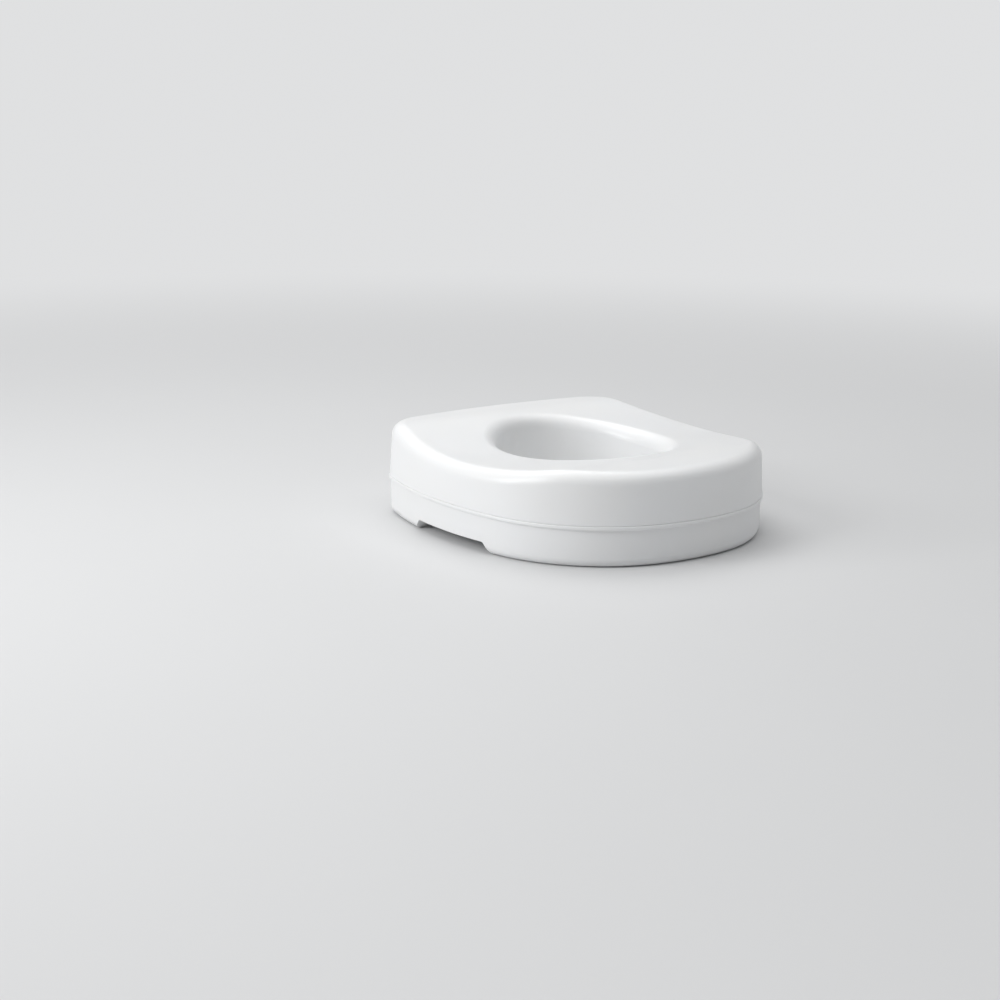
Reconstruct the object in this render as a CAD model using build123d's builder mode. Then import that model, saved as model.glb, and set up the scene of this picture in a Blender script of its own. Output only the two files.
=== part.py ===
"""Raised toilet seat: two moulded shells screwed together, a collar seal and four rubber pads.

Millimetres. +Z is up and the front of the seat is -Y. The origin is the middle of the seat's
width and depth, on the plane that the skirt's lower edge stands on.
"""

from build123d import *
from math import atan2, cos, degrees, hypot, radians, sin, sqrt, tan
import os

# ------------------------------------------------------------------ driving dimensions
# plan outline of the seat shell where it meets the base
seat_width = 420.0
seat_depth = 440.0
nose_radius = 290.0  # middle of the front
nose_half_angle = 12.0
cheek_radius = 180.0  # front corners
side_radius = 483.0
corner_radius = 63.0  # rear corners
back_radius = 985.0

# seat surface and upper wall
joint_height = 51.0  # where the two shells meet
front_height = 112.5  # the seat rises a little from front to rear
rear_height = 120.0
dish_depth = 14.5  # how far the sides dip between front and rear
dish_length = 300.0
dish_middle = -2.0  # the lowest line of the dish
crest_blend = 160.0
wall_draft = 3.2  # degrees
top_edge_radius = 17.0

# opening, measured at the bottom of the collar
opening_width = 196.0
opening_length = 228.0
opening_end_radius = 80.0
opening_middle = 13.0
opening_draft = 4.0  # degrees
lip_radius = 18.0

# base shell
skirt_inset = 1.8  # how far the skirt stands back from the seat at the joint
flange_reach = 0.8  # how far the skirt's top flange stands proud of the seat
flange_height = 5.0
flange_edge_radius = 1.6
skirt_draft = 0.6  # degrees
skirt_edge_radius = 10.0
skirt_lip_width = 27.0  # from the outer face to the recess for the bowl's rim
skirt_inner_radius = 2.5
ledge_height = 16.0  # underside of the ledge that lies over the rim
upstand_height = 22.0  # wall round the collar, above the ledge
upstand_wall = 5.0

# cut-outs in the skirt
notch_length = 131.0  # hand grips, one on each side
notch_height = 14.0
notch_middle = 12.0
relief_length = 236.0  # clears the hinge deck of the bowl at the rear
relief_height = 13.0
cutout_slope = 12.0  # how far each end of a cut-out slants out at the bottom
cutout_corner_radius = 4.0

# walls, ribs and clearances
wall = 3.2
rib_thickness = 2.4
rib_count = 12
joint_gap = 0.3
fit_gap = 0.2
thread_gap = 0.05

# tongue on the seat shell, which drops into a rebate in the base
tongue_thickness = 1.4
tongue_height = 4.0

# line along the middle of the bowl's rim, an ellipse that carries the screws and the pads
rim_line_width = 302.0
rim_line_length = 320.0

# screws
screw_count = 8
screw_radius = 2.0
screw_clearance = 0.3  # round the shank, in the base
screw_length = 22.0
screw_head_radius = 2 * screw_radius
screw_head_height = 2.8
driver_room = 1.0  # round the head, in the counterbore
screw_head_edge = 1.2
screw_point_length = 3.0
screw_point_radius = 0.5
drive_width = 0.9
drive_depth = 1.4
drive_length = 4.6
screw_seat_height = 34.0  # underside of the heads
counterbore_radius = screw_head_radius + driver_room
tower_wall = 3.0
tower_web = 4.0
boss_wall = 3.5

# pads
pad_length = 62.0
pad_width = 18.0
pad_drop = 5.0  # how far a pad stands below the ledge
pad_edge_radius = 1.5
pad_groove_width = 1.4
pad_groove_depth = 1.0
pad_groove_spacing = 6.0
pad_groove_count = 8
stem_radius = 3.0
stem_head_radius = 4.4
stem_head_height = 3.0
stem_spacing = 36.0
pad_angles = {"front_left": 225, "front_right": 315, "rear_left": 135, "rear_right": 45}

# collar seal
seal_thickness = 2.6
seal_height = 5.0


# ------------------------------------------------------------------ outlines
def toward(start, end, distance):
    """The point that lies a distance from start in the direction of end."""
    span = hypot(end[0] - start[0], end[1] - start[1])
    return (
        start[0] + (end[0] - start[0]) * distance / span,
        start[1] + (end[1] - start[1]) * distance / span,
    )


def circles_meet(first, first_radius, second, second_radius):
    """The point on the +X side where two circles cross."""
    span = hypot(second[0] - first[0], second[1] - first[1])
    along = (first_radius**2 - second_radius**2 + span**2) / (2 * span)
    aside = sqrt(first_radius**2 - along**2)
    foot = toward(first, second, along)
    step_x = aside * (second[1] - first[1]) / span
    step_y = aside * (second[0] - first[0]) / span
    return max((foot[0] + step_x, foot[1] - step_y), (foot[0] - step_x, foot[1] + step_y))


def mirrored_sketch(points, radii, centres):
    """The area inside a chain of tangent arcs on the +X side and its mirror image."""
    with BuildSketch() as area:
        with BuildLine():
            for start, end, radius, centre in zip(points, points[1:], radii, centres):
                chord_middle = ((start[0] + end[0]) / 2, (start[1] + end[1]) / 2)
                ThreePointArc(start, toward(centre, chord_middle, radius), end)
            mirror(about=Plane.YZ)
        make_face()
    return area.sketch


def make_seat_outline():
    """Five tangent arcs on each side, from the middle of the front to the middle of the rear."""
    angle = radians(nose_half_angle)
    nose = (0, nose_radius - seat_depth / 2)
    cheek_offset = nose_radius - cheek_radius
    cheek = (cheek_offset * sin(angle), nose[1] - cheek_offset * cos(angle))
    side_x = seat_width / 2 - side_radius
    side_step = sqrt((side_radius - cheek_radius) ** 2 - (side_x - cheek[0]) ** 2)
    side = (side_x, cheek[1] + side_step)
    back = (0, seat_depth / 2 - back_radius)
    corner = circles_meet(side, side_radius - corner_radius, back, back_radius - corner_radius)
    points = (
        (0, -seat_depth / 2),
        toward(nose, cheek, nose_radius),
        toward(side, cheek, side_radius),
        toward(side, corner, side_radius),
        toward(back, corner, back_radius),
        (0, seat_depth / 2),
    )
    radii = (nose_radius, cheek_radius, side_radius, corner_radius, back_radius)
    return mirrored_sketch(points, radii, (nose, cheek, side, corner, back))


def make_opening_outline():
    """An oval: a small arc at the front and rear and a large one on each flank."""
    end_offset = opening_length / 2 - opening_end_radius
    half_width = opening_width / 2
    flank_radius = (half_width + opening_end_radius) / 2
    flank_radius += end_offset**2 / (half_width - opening_end_radius) / 2
    flank = (half_width - flank_radius, opening_middle)
    front = (0, opening_middle - end_offset)
    rear = (0, opening_middle + end_offset)
    points = (
        (0, front[1] - opening_end_radius),
        toward(flank, front, flank_radius),
        toward(flank, rear, flank_radius),
        (0, rear[1] + opening_end_radius),
    )
    radii = (opening_end_radius, flank_radius, opening_end_radius)
    return mirrored_sketch(points, radii, (front, flank, rear))


seat_outline = make_seat_outline()
opening_outline = make_opening_outline()


def opening_at(height, grow):
    """The opening's outline at a height, moved out by grow: the collar's draft opens it upwards."""
    with BuildSketch() as outline:
        add(opening_outline)
        offset(amount=grow + height * tan(radians(opening_draft)))
    return outline.sketch


def rim_place(angle):
    """Point on the rim's middle line at an angle from +X, and the line's direction there."""
    turn = radians(angle)
    half_width = rim_line_width / 2
    half_length = rim_line_length / 2
    place = (half_width * cos(turn), half_length * sin(turn))
    heading = degrees(atan2(half_length * cos(turn), -half_width * sin(turn)))
    return place, heading


screw_places = [rim_place(360 / screw_count * (step + 0.5))[0] for step in range(screw_count)]


# ------------------------------------------------------------------ shared forms
def meeting_edges(first_faces, second_faces):
    """The edges along which two groups of faces meet."""
    others = second_faces.edges()
    return ShapeList(
        edge for edge in first_faces.edges() if any(edge.is_same(other) for other in others)
    )


def top_border(form):
    """The edges where the surfaces that face up meet the walls."""
    top_faces = form.faces().filter_by(lambda face: face.normal_at().Z > 0.9)
    walls = form.faces().filter_by(lambda face: abs(face.normal_at().Z) < 0.2)
    return meeting_edges(top_faces, walls)


def is_round_opening(edge):
    """Whether an edge's middle lies nearer to the opening than to the seat's outer edge."""
    half_way = (opening_length + seat_depth) / 4
    return hypot(edge.center().X, edge.center().Y - opening_middle) < half_way


def surface_height(y):
    """Height of the seat at its front and rear, before the dish is cut."""
    return front_height + (rear_height - front_height) * (y / seat_depth + 0.5)


def make_upper_form(shrink):
    """The ring under the seat surface and above the joint, with every face drawn in by shrink."""
    dish_radius = ((dish_length / 2) ** 2 + dish_depth**2) / (2 * dish_depth)
    middle_height = surface_height(dish_middle) - shrink
    with BuildPart() as under_surface:
        with BuildSketch(Plane.YZ) as side_view:
            with BuildLine():
                Polyline(
                    (-seat_depth, 0),
                    (-seat_depth, surface_height(-seat_depth) - shrink),
                    (seat_depth, surface_height(seat_depth) - shrink),
                    (seat_depth, 0),
                    close=True,
                )
            make_face()
            with Locations((dish_middle, middle_height - dish_depth + dish_radius)):
                Circle(dish_radius, mode=Mode.SUBTRACT)
            crests = side_view.vertices().sort_by(Axis.X)[2:-2]
            fillet(crests, crest_blend)
        extrude(amount=seat_width, both=True)
    with BuildPart() as form:
        with BuildSketch(Plane.XY.offset(joint_height)):
            add(seat_outline)
            offset(amount=-shrink)
        extrude(amount=rear_height - joint_height, taper=wall_draft)
        add(under_surface.part, mode=Mode.INTERSECT)
        with BuildSketch(Plane.XY):
            add(opening_outline)
            offset(amount=shrink)
        extrude(amount=rear_height, taper=-opening_draft, mode=Mode.SUBTRACT)
        rim_edges = top_border(form).filter_by(lambda edge: not is_round_opening(edge))
        fillet(rim_edges, top_edge_radius - shrink)
        fillet(top_border(form), lip_radius - shrink)
    return form.part


def make_ribs(foot, head, outline_inset):
    """Upright webs that fan out from the opening's middle, from foot up to head."""
    reach = hypot(seat_width, seat_depth) / 2
    with BuildPart() as ribs:
        with BuildSketch(Plane.XY.offset(foot)):
            with Locations((0, opening_middle)):
                with PolarLocations(reach / 2, rib_count):
                    Rectangle(reach, rib_thickness)
            add(opening_outline, mode=Mode.SUBTRACT)
            with BuildSketch(mode=Mode.PRIVATE) as inside:
                add(seat_outline)
                offset(amount=-outline_inset)
            add(inside.sketch, mode=Mode.INTERSECT)
        extrude(amount=head - foot)
    return ribs.part


def make_posts(radius, foot, head):
    """One round post at each screw."""
    with BuildPart() as posts:
        with BuildSketch(Plane.XY.offset(foot)):
            with Locations(*screw_places):
                Circle(radius)
        extrude(amount=head - foot)
    return posts.part


# ------------------------------------------------------------------ seat shell
boss_radius = screw_radius + boss_wall
boss_foot = screw_seat_height + tower_web + fit_gap
boss_root = joint_height + 3 * wall  # where the bosses are already inside the hollow

with BuildPart() as seat_hollow:
    add(make_upper_form(wall))
    add(make_ribs(joint_height + wall, rear_height, wall), mode=Mode.SUBTRACT)
    add(make_posts(boss_radius, joint_height - wall, rear_height), mode=Mode.SUBTRACT)

with BuildPart() as seat_shell:
    add(make_upper_form(0))
    add(seat_hollow.part, mode=Mode.SUBTRACT)
    # collar: the opening's wall runs on down to the skirt's lower edge
    with BuildSketch(Plane.XY):
        add(opening_outline)
        offset(amount=wall)
    extrude(amount=joint_height + wall, taper=-opening_draft)
    with BuildSketch(Plane.XY):
        add(opening_outline)
    extrude(amount=joint_height + 2 * wall, taper=-opening_draft, mode=Mode.SUBTRACT)
    # bosses and their pilot holes
    add(make_posts(boss_radius, boss_foot, boss_root))
    pilot_top = screw_seat_height + screw_length + fit_gap
    add(make_posts(screw_radius + thread_gap, boss_foot, pilot_top), mode=Mode.SUBTRACT)
    # tongue on the inner half of the wall
    with BuildSketch(Plane.XY.offset(joint_height - tongue_height)):
        add(seat_outline)
        offset(amount=tongue_thickness - wall)
        with BuildSketch(mode=Mode.PRIVATE) as tongue_inside:
            add(seat_outline)
            offset(amount=-wall)
        add(tongue_inside.sketch, mode=Mode.SUBTRACT)
    extrude(amount=tongue_height + fit_gap)
seat_shell.part.label = "seat_shell"


# ------------------------------------------------------------------ base shell
base_top = joint_height - joint_gap
foot_inset = skirt_inset + joint_height * tan(radians(skirt_draft))
ledge_top = ledge_height + wall
upstand_top = ledge_top + upstand_height
seal_foot = upstand_top - seal_height


def make_cutout_profile(middle, length, height, grow):
    """A trapezoid that widens towards the floor, with its upper corners rounded."""
    half_top = length / 2 + grow
    half_foot = half_top + cutout_slope
    with BuildSketch() as profile:
        with BuildLine():
            Polyline(
                (middle - half_foot, 0),
                (middle - half_top, height + grow),
                (middle + half_top, height + grow),
                (middle + half_foot, 0),
                close=True,
            )
        make_face()
        fillet(profile.vertices().group_by(Axis.Y)[-1], cutout_corner_radius + grow)
    return profile.sketch


def make_cutouts(grow):
    """Prisms for the hand notches and the rear relief, with every face moved out by grow."""
    with BuildPart() as cutouts:
        with BuildSketch(Plane.YZ):
            add(make_cutout_profile(notch_middle, notch_length, notch_height, grow))
        extrude(amount=seat_width, both=True)
        with BuildSketch(Plane.XZ):
            add(make_cutout_profile(0, relief_length, relief_height, grow))
        extrude(amount=-seat_depth)
    return cutouts.part


with BuildPart() as base_hollow:
    # between the skirt's skin and the walls that stand inside it
    with BuildSketch(Plane.XY.offset(wall)):
        add(seat_outline)
        offset(amount=-foot_inset - wall)
    extrude(amount=joint_height, taper=-skirt_draft)
    fillet(base_hollow.faces().sort_by(Axis.Z)[0].edges(), skirt_edge_radius - wall)
    with BuildSketch(Plane.XY):
        add(seat_outline)
        offset(amount=wall - skirt_lip_width)
    extrude(amount=ledge_top, mode=Mode.SUBTRACT)
    with BuildSketch(Plane.XY):
        add(opening_outline)
        offset(amount=wall + fit_gap + upstand_wall)
    extrude(amount=upstand_top, taper=-opening_draft, mode=Mode.SUBTRACT)
    with BuildSketch(Plane.XY):
        add(opening_outline)
        offset(amount=wall + fit_gap)
    extrude(amount=2 * joint_height, taper=-opening_draft, mode=Mode.SUBTRACT)
    add(make_cutouts(wall), mode=Mode.SUBTRACT)
    add(make_posts(counterbore_radius + tower_wall, 0, screw_seat_height + tower_web), mode=Mode.SUBTRACT)
    add(make_ribs(0, joint_height - tongue_height - wall, wall), mode=Mode.SUBTRACT)

with BuildPart() as base_shell:
    with BuildSketch(Plane.XY):
        add(seat_outline)
        offset(amount=-foot_inset)
    extrude(amount=base_top, taper=-skirt_draft)
    fillet(base_shell.faces().sort_by(Axis.Z)[0].edges(), skirt_edge_radius)
    # flange along the joint
    with BuildSketch(Plane.XY.offset(base_top - flange_height)):
        add(seat_outline)
        offset(amount=flange_reach)
    extrude(amount=flange_height)
    flange_under, flange_top = base_shell.faces().filter_by(Plane.XY).sort_by(Axis.Z)[-2:]
    fillet(flange_under.outer_wire().edges() + flange_top.edges(), flange_edge_radius)
    # recess that takes the bowl's rim
    with BuildSketch(Plane.XY):
        add(seat_outline)
        offset(amount=-skirt_lip_width)
    extrude(amount=ledge_height, mode=Mode.SUBTRACT)
    lip_face = base_shell.faces().sort_by(Axis.Z)[0]
    fillet(lip_face.inner_wires().edges(), skirt_inner_radius)
    add(make_cutouts(0), mode=Mode.SUBTRACT)
    add(base_hollow.part, mode=Mode.SUBTRACT)
    # way through for the collar
    with BuildSketch(Plane.XY):
        add(opening_outline)
        offset(amount=wall + fit_gap)
    extrude(amount=base_top, taper=-opening_draft, mode=Mode.SUBTRACT)
    # rebate for the seat shell's tongue
    with BuildSketch(Plane.XY.offset(base_top - tongue_height)):
        add(seat_outline)
        offset(amount=tongue_thickness + fit_gap - wall)
    extrude(amount=joint_height, mode=Mode.SUBTRACT)
    # rebate for the collar seal
    with BuildSketch(Plane.XY.offset(seal_foot)):
        add(opening_at(seal_foot, wall + seal_thickness + thread_gap))
    extrude(amount=joint_height - seal_foot, taper=-opening_draft, mode=Mode.SUBTRACT)
    # holes for the pads' stems
    for angle in pad_angles.values():
        place, heading = rim_place(angle)
        across = Vector(1, 0).rotate(Axis.Z, heading)
        with BuildSketch(Plane(origin=(*place, ledge_height), x_dir=across)):
            with GridLocations(stem_spacing, 0, 2, 1):
                Circle(stem_radius + fit_gap)
        extrude(amount=wall, mode=Mode.SUBTRACT)
        with BuildSketch(Plane(origin=(*place, ledge_top), x_dir=across)):
            with GridLocations(stem_spacing, 0, 2, 1):
                Circle(stem_head_radius + fit_gap)
        extrude(amount=stem_head_height + 2 * fit_gap, mode=Mode.SUBTRACT)
    # room for the seat shell's bosses, then the screw holes
    boss_seat = screw_seat_height + tower_web
    add(make_posts(boss_radius + fit_gap, boss_seat, joint_height), mode=Mode.SUBTRACT)
    add(make_posts(counterbore_radius, 0, screw_seat_height), mode=Mode.SUBTRACT)
    add(make_posts(screw_radius + screw_clearance, 0, joint_height), mode=Mode.SUBTRACT)
base_shell.part.label = "base_shell"


# ------------------------------------------------------------------ collar seal
# sits in the rebate at the top of the base's upstand and grips the collar
with BuildPart() as collar_seal:
    with BuildSketch(Plane.XY.offset(seal_foot)):
        add(opening_at(seal_foot, wall + seal_thickness))
    extrude(amount=seal_height - thread_gap, taper=-opening_draft)
    with BuildSketch(Plane.XY.offset(seal_foot)):
        add(opening_at(seal_foot, wall + thread_gap))
    extrude(amount=seal_height, taper=-opening_draft, mode=Mode.SUBTRACT)
collar_seal.part.label = "collar_seal"


# ------------------------------------------------------------------ screws
head_foot = screw_seat_height - screw_head_height
screw_tip = screw_seat_height + screw_length

with BuildPart() as screw:
    with BuildSketch(Plane.XZ):
        with BuildLine():
            Polyline(
                (0, head_foot),
                (screw_head_radius - screw_head_edge, head_foot),
                (screw_head_radius, head_foot + screw_head_edge),
                (screw_head_radius, screw_seat_height),
                (screw_radius, screw_seat_height),
                (screw_radius, screw_tip - screw_point_length),
                (screw_point_radius, screw_tip),
                (0, screw_tip),
                close=True,
            )
        make_face()
    revolve(axis=Axis.Z)
    with BuildSketch(Plane.XY.offset(head_foot)):
        Rectangle(drive_length, drive_width)
        Rectangle(drive_width, drive_length)
    extrude(amount=drive_depth, mode=Mode.SUBTRACT)

with BuildPart() as joint_screws:
    with Locations(*screw_places):
        add(screw.part)
joint_screws.part.label = "joint_screws"


# ------------------------------------------------------------------ pads
pad_foot = ledge_height - pad_drop

with BuildPart() as pad:
    with BuildSketch(Plane.XY.offset(pad_foot)):
        SlotOverall(pad_length, pad_width)
    extrude(amount=pad_drop)
    fillet(pad.faces().sort_by(Axis.Z)[0].edges(), pad_edge_radius)
    with BuildSketch(Plane.XY.offset(pad_foot)):
        with GridLocations(pad_groove_spacing, 0, pad_groove_count, 1):
            Rectangle(pad_groove_width, pad_width)
    extrude(amount=pad_groove_depth, mode=Mode.SUBTRACT)
    # two stems that snap through the ledge
    with BuildSketch(Plane.XY.offset(ledge_height)):
        with GridLocations(stem_spacing, 0, 2, 1):
            Circle(stem_radius)
    extrude(amount=wall + fit_gap)
    with BuildSketch(Plane.XY.offset(ledge_top + fit_gap)):
        with GridLocations(stem_spacing, 0, 2, 1):
            Circle(stem_head_radius)
    extrude(amount=stem_head_height)
    fillet(pad.faces().sort_by(Axis.Z)[-2:].edges(), stem_head_radius / 3)

pads = []
for pad_name, angle in pad_angles.items():
    place, heading = rim_place(angle)
    with BuildPart() as placed_pad:
        with Locations(Location((*place, 0), (0, 0, heading))):
            add(pad.part)
    placed_pad.part.label = f"pad_{pad_name}"
    pads.append(placed_pad)


# ------------------------------------------------------------------ files
os.makedirs("parts", exist_ok=True)
for piece in (seat_shell, base_shell, collar_seal, joint_screws, *pads):
    export_step(piece.part, f"parts/{piece.part.label}.step")
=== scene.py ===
"""Looks for the raised toilet seat: procedural plastic, rubber and steel in soft studio light."""

import math
from functools import partial

import bpy
from mathutils import Matrix, Vector


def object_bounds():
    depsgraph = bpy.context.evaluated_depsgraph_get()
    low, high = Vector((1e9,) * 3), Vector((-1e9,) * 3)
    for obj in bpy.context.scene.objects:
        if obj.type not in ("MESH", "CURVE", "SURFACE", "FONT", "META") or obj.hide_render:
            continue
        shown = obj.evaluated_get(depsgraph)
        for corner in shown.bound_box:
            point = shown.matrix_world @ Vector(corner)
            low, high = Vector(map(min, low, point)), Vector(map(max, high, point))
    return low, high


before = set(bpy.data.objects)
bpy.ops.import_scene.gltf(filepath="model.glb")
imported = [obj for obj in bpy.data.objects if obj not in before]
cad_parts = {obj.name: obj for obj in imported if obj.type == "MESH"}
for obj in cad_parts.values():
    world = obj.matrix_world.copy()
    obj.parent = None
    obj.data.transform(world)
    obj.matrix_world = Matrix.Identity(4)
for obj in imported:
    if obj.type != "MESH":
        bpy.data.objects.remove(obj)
cad_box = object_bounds()
MM = 0.001  # lengths are in metres

# ------------------------------------------------------------------ camera
CAMERA_AZIMUTH = math.radians(-35.99)
CAMERA_ELEVATION = math.radians(13.67)
CAMERA_ROLL = math.radians(0.80)
CAMERA_DISTANCE = 2.31457
CAMERA_OFFSET = (-0.11059, 0.02606)  # to the right and up from the seat's origin
CAMERA_LENS = 64.8  # mm
CAMERA_SENSOR = 36  # mm
CAMERA_CLIP = (0.05, 200)


def add_camera():
    """Looks from the front left and a little above, with the seat right of the middle."""
    flat = math.cos(CAMERA_ELEVATION)
    back = Vector(
        (
            math.sin(CAMERA_AZIMUTH) * flat,
            -math.cos(CAMERA_AZIMUTH) * flat,
            math.sin(CAMERA_ELEVATION),
        )
    )
    right = Vector((math.cos(CAMERA_AZIMUTH), math.sin(CAMERA_AZIMUTH), 0))
    up = right.cross(-back)
    camera = bpy.data.cameras.new("camera")
    camera.lens = CAMERA_LENS
    camera.sensor_width = CAMERA_SENSOR
    camera.clip_start, camera.clip_end = CAMERA_CLIP
    holder = bpy.data.objects.new("camera", camera)
    bpy.context.scene.collection.objects.link(holder)
    rolled_right = right * math.cos(CAMERA_ROLL) + up * math.sin(CAMERA_ROLL)
    rolled_up = up * math.cos(CAMERA_ROLL) - right * math.sin(CAMERA_ROLL)
    place = Matrix((rolled_right, rolled_up, back)).transposed().to_4x4()
    aside, above = CAMERA_OFFSET
    place.translation = back * CAMERA_DISTANCE + right * aside + up * above
    holder.matrix_world = place
    bpy.context.scene.camera = holder


# ------------------------------------------------------------------ node helpers
class Graph:
    """A material's node tree with short calls for the nodes used here."""

    def __init__(self, name):
        self.material = bpy.data.materials.new(name)
        self.material.use_nodes = True
        self.tree = self.material.node_tree
        self.shader = self.tree.nodes["Principled BSDF"]
        self.place = self.tree.nodes.new("ShaderNodeTexCoord").outputs["Object"]
        self.axes = self.tree.nodes.new("ShaderNodeSeparateXYZ")
        self.tree.links.new(self.place, self.axes.inputs[0])
        surface = self.tree.nodes.new("ShaderNodeNewGeometry")
        split_normal = self.tree.nodes.new("ShaderNodeSeparateXYZ")
        self.tree.links.new(surface.outputs["Normal"], split_normal.inputs[0])
        self.facing = split_normal.outputs["Z"]

    def put(self, socket, value):
        """Sets an input to a number or colour, or links it to another node's output."""
        if isinstance(value, bpy.types.NodeSocket):
            self.tree.links.new(value, socket)
        else:
            socket.default_value = value

    def set_input(self, name, value):
        """Sets one input of the material's shader."""
        self.put(self.shader.inputs[name], value)

    def calculate(self, operation, first, second=0.0):
        node = self.tree.nodes.new("ShaderNodeMath")
        node.operation = operation
        self.put(node.inputs[0], first)
        self.put(node.inputs[1], second)
        return node.outputs[0]

    def stretch(self, scale):
        """The object's coordinates, scaled apart along each axis."""
        node = self.tree.nodes.new("ShaderNodeMapping")
        self.put(node.inputs["Vector"], self.place)
        node.inputs["Scale"].default_value = scale
        return node.outputs[0]

    def noise(self, size, detail=2.0, rough=0.5, vector=None):
        """Noise whose patches are about size metres across, from 0 to 1."""
        node = self.tree.nodes.new("ShaderNodeTexNoise")
        self.put(node.inputs["Vector"], vector or self.place)
        node.inputs["Scale"].default_value = 1 / size
        node.inputs["Detail"].default_value = detail
        node.inputs["Roughness"].default_value = rough
        return node.outputs["Fac"]

    def ramp(self, value, low, high, out_low=0.0, out_high=1.0):
        """Maps low..high to out_low..out_high, smoothly and clamped."""
        node = self.tree.nodes.new("ShaderNodeMapRange")
        node.interpolation_type = "SMOOTHSTEP"
        self.put(node.inputs["Value"], value)
        node.inputs["From Min"].default_value = low
        node.inputs["From Max"].default_value = high
        node.inputs["To Min"].default_value = out_low
        node.inputs["To Max"].default_value = out_high
        return node.outputs[0]

    def hairlines(self, scale):
        """Thin scratches, long on the axes with a small scale, in patches where it faces up."""
        middle, half_width = 0.5, 0.012  # a line is where the noise passes its middle
        noise = self.noise(0.012, 1, 0.5, self.stretch(scale))
        away = self.calculate("ABSOLUTE", self.calculate("SUBTRACT", noise, middle))
        patches = self.ramp(self.noise(0.05, 2), 0.48, 0.62)
        facing_up = self.ramp(self.facing, 0.85, 0.97)
        lines = self.calculate("MULTIPLY", self.ramp(away, 0.0, half_width, 1, 0), patches)
        return self.calculate("MULTIPLY", lines, facing_up)

    def mix(self, factor, first, second):
        node = self.tree.nodes.new("ShaderNodeMix")
        node.data_type = "RGBA"
        self.put(node.inputs["Factor"], factor)
        self.put(node.inputs["A"], first)
        self.put(node.inputs["B"], second)
        return node.outputs["Result"]

    def bump(self, height, depth, below=None):
        """Adds relief of a real depth in metres on top of the relief below it."""
        node = self.tree.nodes.new("ShaderNodeBump")
        self.put(node.inputs["Height"], height)
        node.inputs["Distance"].default_value = depth
        if below:
            self.put(node.inputs["Normal"], below)
        return node.outputs[0]


def rgb(red, green, blue):
    return (red, green, blue, 1.0)


# ------------------------------------------------------------------ materials
NOISE_SPAN = (0.3, 0.7)  # nearly all of a noise's values lie between these

WHITE_RESIN = rgb(0.865, 0.872, 0.878)
WARM_RESIN = rgb(0.848, 0.850, 0.846)
SCUFF_GREY = rgb(0.70, 0.70, 0.69)
SATIN = (0.30, 0.36)  # roughness, from the glossiest smear to the dullest
RESIN_RELIEF = (  # size of the patches, detail of the noise, depth
    (0.09, 0, 0.10 * MM),  # waves from cooling
    (0.006, 1, 0.008 * MM),  # orange peel
    (0.0012, 1, 0.001 * MM),  # grain
)
SCRATCH_DEPTH = 0.002 * MM
UNWORN = (-0.02, -0.01)  # below the seat, so nothing of it is scuffed
SKIRT_WEAR = (0.002, 0.014)

STEEL_BRIGHT = rgb(0.70, 0.70, 0.71)
STEEL_DULL = rgb(0.58, 0.57, 0.56)


def make_shell_plastic(name, wear):
    """White moulded plastic; scuffs are full below the first height in wear and gone by the second."""
    plastic = Graph(name)
    multiply = partial(plastic.calculate, "MULTIPLY")
    add = partial(plastic.calculate, "ADD")
    greatest = partial(plastic.calculate, "MAXIMUM")

    # colour: slow drift in the resin, and grey scuffs
    drift = multiply(plastic.ramp(plastic.noise(size=0.12, detail=1), *NOISE_SPAN), 0.6)
    resin = plastic.mix(drift, WHITE_RESIN, WARM_RESIN)
    low_down = plastic.ramp(plastic.axes.outputs["Z"], *wear, 1, 0)
    flattened = plastic.stretch((1, 1, 6))
    marks = plastic.noise(size=0.004, detail=5, rough=0.7, vector=flattened)
    scuffs = multiply(low_down, plastic.ramp(marks, 0.56, 0.70))
    plastic.set_input("Base Color", plastic.mix(multiply(scuffs, 0.35), resin, SCUFF_GREY))

    # roughness: satin smears from handling, hairline scratches and duller scuffs
    smears = plastic.ramp(plastic.noise(size=0.06, detail=1.5), *NOISE_SPAN, *SATIN)
    hairs = greatest(plastic.hairlines((1, 0.02, 0.3)), plastic.hairlines((0.03, 1, 0.2)))
    scratched = add(smears, multiply(hairs, 0.05))
    plastic.set_input("Roughness", add(scratched, multiply(scuffs, 0.25)))

    # relief: what the mould leaves, with scratches and scuffs cut into it
    relief = None
    for size, detail, depth in RESIN_RELIEF:
        relief = plastic.bump(plastic.noise(size, detail), depth, relief)
    unmarked = plastic.calculate("SUBTRACT", 1.0, greatest(hairs, scuffs))
    plastic.set_input("Normal", plastic.bump(unmarked, SCRATCH_DEPTH, relief))

    plastic.set_input("IOR", 1.49)
    plastic.set_input("Subsurface Weight", 0.06)
    plastic.set_input("Subsurface Radius", (1.0, 0.9, 0.8))
    plastic.set_input("Subsurface Scale", 3 * MM)
    return plastic.material


def make_rubber(name, light, dark, dusty):
    """Matt moulded rubber with a fine pebbled grain and dust in its hollows."""
    rubber = Graph(name)
    patches = rubber.ramp(rubber.noise(size=0.012, detail=4), *NOISE_SPAN)
    dust = rubber.ramp(rubber.noise(size=0.0015, detail=3, rough=0.7), 0.55, 0.75, 0, 0.35)
    rubber.set_input("Base Color", rubber.mix(dust, rubber.mix(patches, light, dark), dusty))
    rough = rubber.ramp(rubber.noise(size=0.006, detail=4), *NOISE_SPAN, 0.62, 0.85)
    rubber.set_input("Roughness", rough)
    pebbles = rubber.bump(rubber.noise(size=0.0006, detail=3, rough=0.6), 0.03 * MM)
    dents = rubber.bump(rubber.noise(size=0.008, detail=2), 0.05 * MM, pebbles)
    rubber.set_input("Normal", dents)
    rubber.set_input("IOR", 1.5)
    return rubber.material


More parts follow.
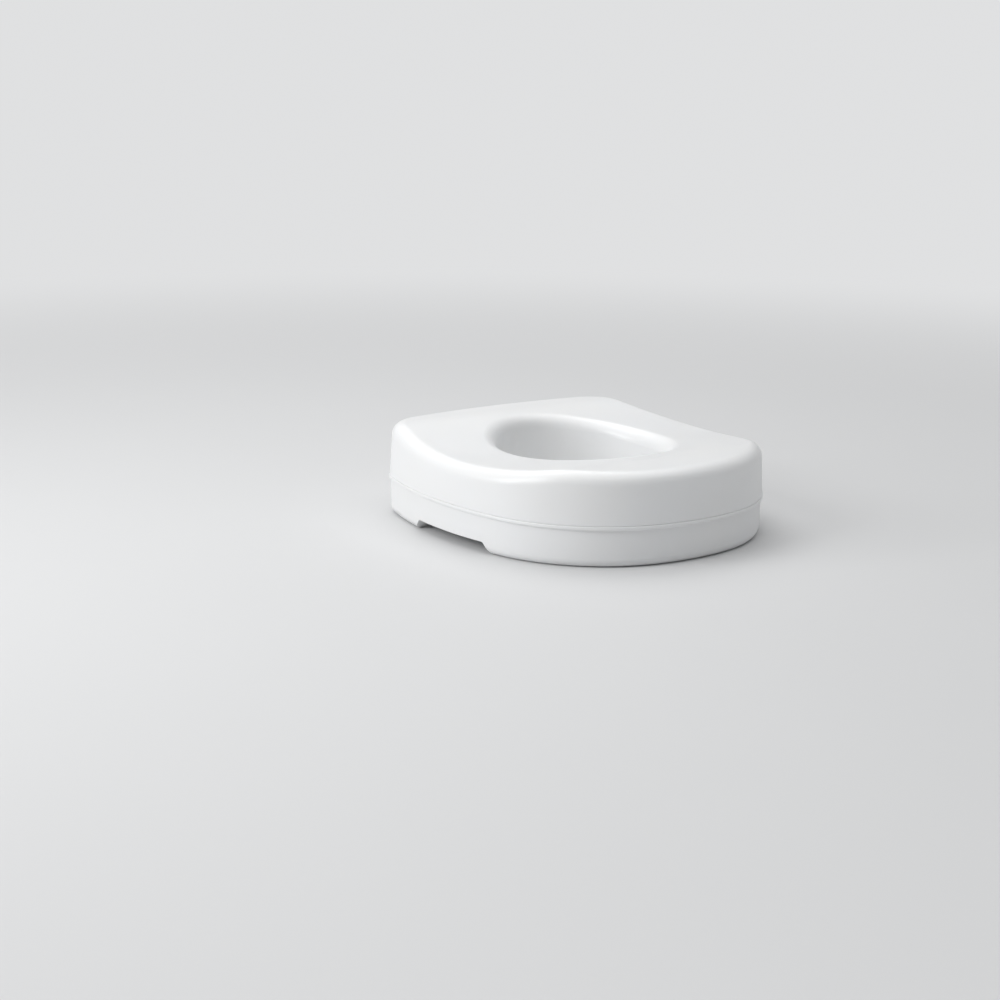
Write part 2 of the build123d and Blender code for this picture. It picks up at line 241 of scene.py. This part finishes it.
def make_screw_steel():
    """Stainless steel, turned: rings round the shank and a dull patch here and there."""
    steel = Graph("screw_steel")
    patches = steel.ramp(steel.noise(size=0.003, detail=4), 0.35, 0.7)
    steel.set_input("Base Color", steel.mix(patches, STEEL_BRIGHT, STEEL_DULL))
    steel.set_input("Metallic", 1.0)
    rings = steel.noise(size=0.002, detail=4, rough=0.7, vector=steel.stretch((1, 1, 14)))
    steel.set_input("Roughness", steel.ramp(rings, *NOISE_SPAN, 0.22, 0.42))
    steel.set_input("Normal", steel.bump(rings, 0.02 * MM))
    return steel.material


def dress(node, material):
    """Gives a CAD node one material all over."""
    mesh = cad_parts[node].data
    mesh.materials.clear()
    mesh.materials.append(material)


def dress_all():
    dress("seat_shell", make_shell_plastic("seat_plastic", UNWORN))
    dress("base_shell", make_shell_plastic("base_plastic", SKIRT_WEAR))
    pad_rubber = make_rubber(
        name="pad_rubber",
        light=rgb(0.105, 0.107, 0.11),
        dark=rgb(0.07, 0.072, 0.075),
        dusty=rgb(0.20, 0.20, 0.195),
    )
    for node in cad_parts:
        if node.startswith("pad_"):
            dress(node, pad_rubber)
    seal_rubber = make_rubber(
        name="seal_rubber",
        light=rgb(0.54, 0.55, 0.56),
        dark=rgb(0.46, 0.47, 0.48),
        dusty=rgb(0.66, 0.65, 0.63),
    )
    dress("collar_seal", seal_rubber)
    dress("joint_screws", make_screw_steel())


# ------------------------------------------------------------------ studio
ROOM_COLOUR = rgb(0.745, 0.750, 0.757)
FLOOR_DARK = rgb(0.655, 0.658, 0.662)
FLOOR_PALE = rgb(0.675, 0.678, 0.682)
FLOOR_FADE = (0.25, 2.9)  # from the floor's own colour to the room's, by distance
FLOOR_RADIUS = 40.0
FLOOR_RINGS = 24
FLOOR_SIDES = 96

FILL_COLOUR = rgb(0.97, 0.985, 1.0)
FILL_STRENGTH = 0.255
LIGHT_AIM = (0, 0, 0.06)
LIGHT_DISTANCE = 2.6
# Name, azimuth (0 in front, -90 at -X), elevation, side in metres, power in watts
SOFT_BOXES = (
    ("key", -95, 35, 0.9, 16.5),
    ("low_key", -110, 20, 0.7, 13.5),
    ("overhead", 0, 90, 3.6, 50),
    ("rear", 170, 60, 1.8, 14.5),
)


def make_floor_mesh():
    """A flat disc of rings that are finer towards the middle."""
    verts = [(0.0, 0.0, 0.0)]
    faces = []
    for ring in range(1, FLOOR_RINGS + 1):
        radius = FLOOR_RADIUS * (ring / FLOOR_RINGS) ** 3
        for side in range(FLOOR_SIDES):
            turn = math.tau * side / FLOOR_SIDES
            verts.append((radius * math.cos(turn), radius * math.sin(turn), 0.0))
    for side in range(FLOOR_SIDES):
        after = (side + 1) % FLOOR_SIDES
        faces.append((0, 1 + side, 1 + after))
        for ring in range(FLOOR_RINGS - 1):
            inner = 1 + ring * FLOOR_SIDES
            outer = inner + FLOOR_SIDES
            faces.append((inner + side, outer + side, outer + after, inner + after))
    mesh = bpy.data.meshes.new("floor")
    mesh.from_pydata(verts, [], faces)
    return mesh


def make_floor_material():
    """Pale and matt near the seat; further away it glows in the room's colour."""
    surface = Graph("floor")
    mottle = surface.noise(size=0.6, detail=3)
    surface.set_input("Base Color", surface.mix(mottle, FLOOR_DARK, FLOOR_PALE))
    surface.set_input("Roughness", 0.7)
    nodes = surface.tree.nodes
    distance = nodes.new("ShaderNodeVectorMath")
    distance.operation = "LENGTH"
    surface.put(distance.inputs[0], surface.place)
    glow = nodes.new("ShaderNodeEmission")
    glow.inputs["Color"].default_value = ROOM_COLOUR
    blend = nodes.new("ShaderNodeMixShader")
    surface.put(blend.inputs[0], surface.ramp(distance.outputs["Value"], *FLOOR_FADE))
    surface.put(blend.inputs[1], surface.shader.outputs[0])
    surface.put(blend.inputs[2], glow.outputs[0])
    surface.put(nodes["Material Output"].inputs["Surface"], blend.outputs[0])
    return surface.material


def add_floor():
    """A pale floor at the seat's lowest point that fades softly into the room."""
    mesh = make_floor_mesh()
    mesh.materials.append(make_floor_material())
    floor = bpy.data.objects.new("floor", mesh)
    floor.location.z = cad_box[0].z
    bpy.context.scene.collection.objects.link(floor)


def add_soft_box(name, azimuth, elevation, side, power):
    """A square light at LIGHT_DISTANCE from the seat's origin, facing the seat; angles in degrees."""
    turn, rise = math.radians(azimuth), math.radians(elevation)
    flat = math.cos(rise) * LIGHT_DISTANCE
    height = math.sin(rise) * LIGHT_DISTANCE
    place = Vector((math.sin(turn) * flat, -math.cos(turn) * flat, height))
    light = bpy.data.lights.new(name, "AREA")
    light.shape = "RECTANGLE"
    light.size = light.size_y = side
    light.energy = power
    holder = bpy.data.objects.new(name, light)
    holder.location = place
    aim = Vector(LIGHT_AIM) - place
    holder.rotation_euler = aim.to_track_quat("-Z", "Y").to_euler()
    bpy.context.scene.collection.objects.link(holder)


def add_room():
    """An even fill from all sides, which the camera sees in the room's colour."""
    world = bpy.data.worlds.new("room")
    world.use_nodes = True
    bpy.context.scene.world = world
    nodes, links = world.node_tree.nodes, world.node_tree.links
    fill = nodes["Background"]
    fill.inputs["Color"].default_value = FILL_COLOUR
    fill.inputs["Strength"].default_value = FILL_STRENGTH
    seen = nodes.new("ShaderNodeBackground")
    seen.inputs["Color"].default_value = ROOM_COLOUR
    path = nodes.new("ShaderNodeLightPath")
    choice = nodes.new("ShaderNodeMixShader")
    links.new(path.outputs["Is Camera Ray"], choice.inputs[0])
    links.new(fill.outputs[0], choice.inputs[1])
    links.new(seen.outputs[0], choice.inputs[2])
    links.new(choice.outputs[0], nodes["World Output"].inputs["Surface"])


def add_studio():
    """Soft boxes at the seat's left, behind it and above it, in a pale room."""
    for soft_box in SOFT_BOXES:
        add_soft_box(*soft_box)
    add_room()
    bpy.context.scene.view_settings.view_transform = "Standard"


add_camera()
dress_all()
add_floor()
add_studio()
